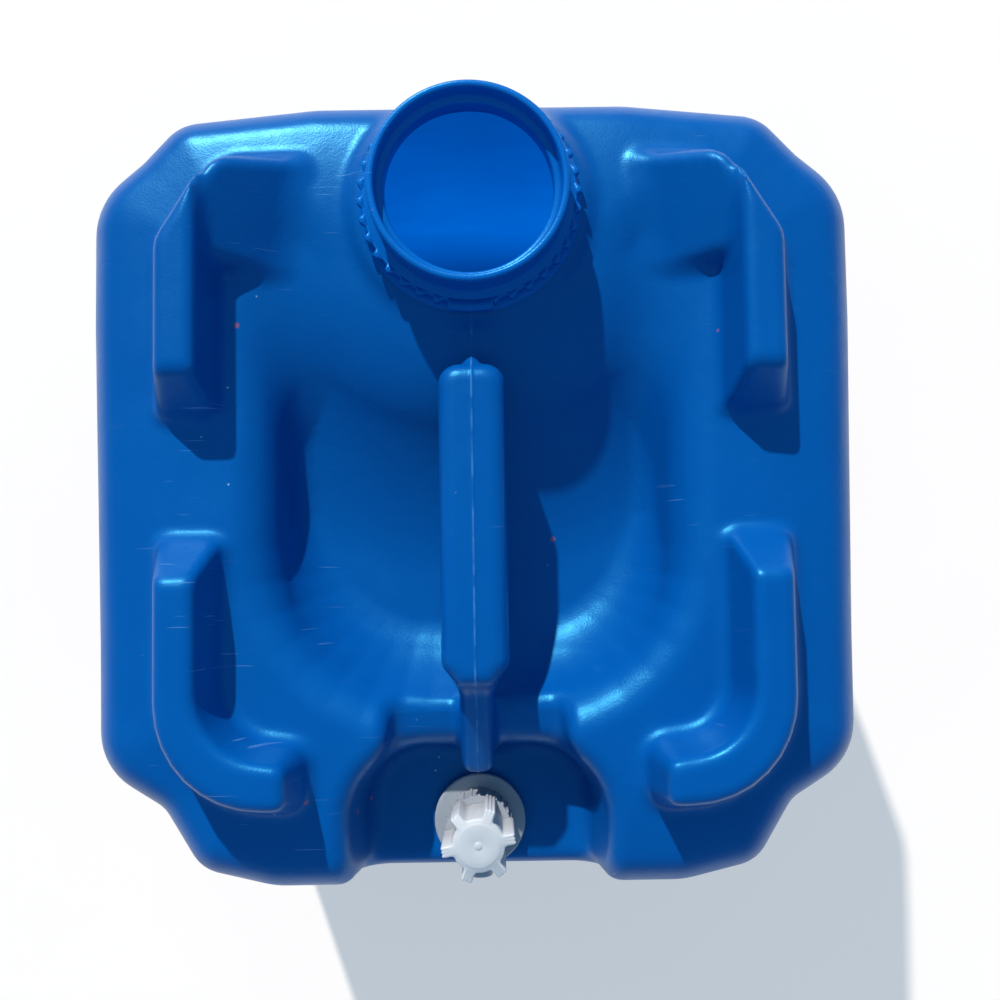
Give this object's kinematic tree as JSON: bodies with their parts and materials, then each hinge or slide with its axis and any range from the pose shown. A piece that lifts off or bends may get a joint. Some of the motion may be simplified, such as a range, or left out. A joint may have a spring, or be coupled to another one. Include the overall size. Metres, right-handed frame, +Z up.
{
  "type": "jerry can",
  "caption": "Square stackable water jerry can with a wide open filler neck, a moulded-in carrying handle and a quarter-turn dispensing tap.",
  "frame": {"origin": "centre of the base footprint, on the surface the can stands on", "axes": "+Z up out of the deck, +Y towards the back where the filler neck is, -Y towards the front where the tap is, +X to the right seen from the front"},
  "size_m": [0.3052, 0.312, 0.3],
  "materials": {
    "blue_hdpe": "semi-gloss blow-moulded polyethylene with a fine grain",
    "natural_plastic": "satin, uncoloured, slightly translucent",
    "seal_rubber": "matt black"
  },
  "bodies": {
    "can": {"can_body": "blue_hdpe", "tap_gasket": "seal_rubber", "tap_inner_washer": "seal_rubber", "tap_back_nut": "natural_plastic", "tap_body": "natural_plastic"},
    "tap_rotor": {"valve_plug": "natural_plastic", "plug_seal_rear": "seal_rubber", "plug_seal_front": "seal_rubber", "tap_knob": "natural_plastic"}
  },
  "joints": [
    {"name": "tap_turn", "type": "hinge", "parent": "can", "child": "tap_rotor", "pos_m": [0, -0.1355, 0.258], "axis": [0, 0, 1], "range_deg": [-90, 0]}
  ]
}
